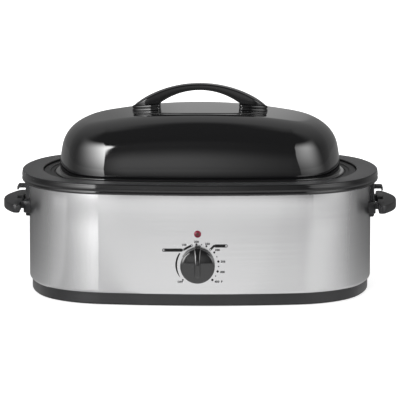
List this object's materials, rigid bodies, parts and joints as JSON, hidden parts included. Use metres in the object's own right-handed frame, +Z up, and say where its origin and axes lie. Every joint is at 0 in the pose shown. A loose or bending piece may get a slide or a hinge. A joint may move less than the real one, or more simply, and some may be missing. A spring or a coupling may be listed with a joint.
{
  "type": "electric roaster oven",
  "caption": "Countertop electric roaster oven: oval steel body with a heated well, lift-out pan and rack, lift-off domed lid, control knob and side handles.",
  "frame": {"origin": "on the table under the middle of the overall box, which is also the middle of the oval body", "axes": "+Z up, -Y towards the control knob (the front), +X to the right seen from the front"},
  "size_m": [0.61, 0.4144, 0.3185],
  "materials": {
    "black_moulding": "satin",
    "plated_sheet": "aluminised sheet, dull",
    "screw_steel": "plated",
    "black_rubber": "matt",
    "brushed_stainless": "brushed, grain running round the body",
    "element_sheath": "oxidised dark sheath",
    "mineral_wool": "fibre blanket",
    "aluminium_can": "drawn",
    "white_moulding": "matt",
    "red_lens": "clear dark red",
    "clear_glass": "clear",
    "brass_screw": "plain",
    "lead_insulation": "braided high-temperature insulation",
    "black_enamel": "gloss enamel",
    "chromed_wire": "bright",
    "black_enamel_gloss": "gloss enamel",
    "black_gloss_moulding": "gloss"
  },
  "bodies": {
    "cabinet": {"base_ring": "black_moulding", "bottom_plate": "plated_sheet", "bottom_plate_screws": "screw_steel", "rubber_feet": "black_rubber", "foot_screws": "screw_steel", "outer_shell": "brushed_stainless", "top_rim": "black_moulding", "rim_screws": "screw_steel", "liner": "plated_sheet", "heating_elements": "element_sheath", "element_clips": "plated_sheet", "element_jumper": "plated_sheet", "insulation_wrap": "mineral_wool", "heat_shield": "plated_sheet", "tie_studs": "screw_steel", "stud_nuts": "screw_steel", "thermal_fuse": "aluminium_can", "thermal_fuse_strap": "plated_sheet", "thermostat_body": "white_moulding", "thermostat_bracket": "plated_sheet", "thermostat_screws": "screw_steel", "pilot_lamp_lens": "red_lens", "pilot_lamp_bulb": "clear_glass", "pilot_lamp_clip": "plated_sheet", "cord_gland": "black_moulding", "gland_nut": "black_moulding", "terminal_block": "white_moulding", "terminal_block_screws": "screw_steel", "earth_screw": "brass_screw", "earth_nut": "brass_screw", "live_lead": "lead_insulation", "neutral_lead": "lead_insulation", "fuse_leads": "lead_insulation", "lamp_leads": "lead_insulation", "right_side_handle": "black_moulding", "left_side_handle": "black_moulding", "side_handle_screws": "screw_steel"},
    "pan": {"roasting_pan": "black_enamel"},
    "rack": {"rack_frame": "chromed_wire", "rack_wires": "chromed_wire", "rack_runners": "chromed_wire", "rack_handles": "chromed_wire"},
    "lid": {"lid_shell": "black_enamel_gloss", "lid_handle": "black_moulding", "lid_handle_feet": "black_moulding", "lid_handle_screws": "screw_steel", "lid_handle_washers": "screw_steel"},
    "knob_and_shaft": {"knob": "black_gloss_moulding", "thermostat_shaft": "screw_steel", "knob_spring_clip": "screw_steel"}
  },
  "joints": [
    {"name": "knob_turn", "type": "hinge", "parent": "cabinet", "child": "knob_and_shaft", "pos_m": [0, -0.187, 0.0648], "axis": [0, -1, 0], "range_deg": [-135, 135]},
    {"name": "pan_lift", "type": "slide", "parent": "cabinet", "child": "pan", "axis": [0, 0, 1], "range_m": [0, 0.25]},
    {"name": "lid_lift", "type": "slide", "parent": "pan", "child": "lid", "axis": [0, 0, 1], "range_m": [0, 0.35]},
    {"name": "rack_lift", "type": "slide", "parent": "pan", "child": "rack", "axis": [0, 0, 1], "range_m": [0, 0.1]}
  ]
}
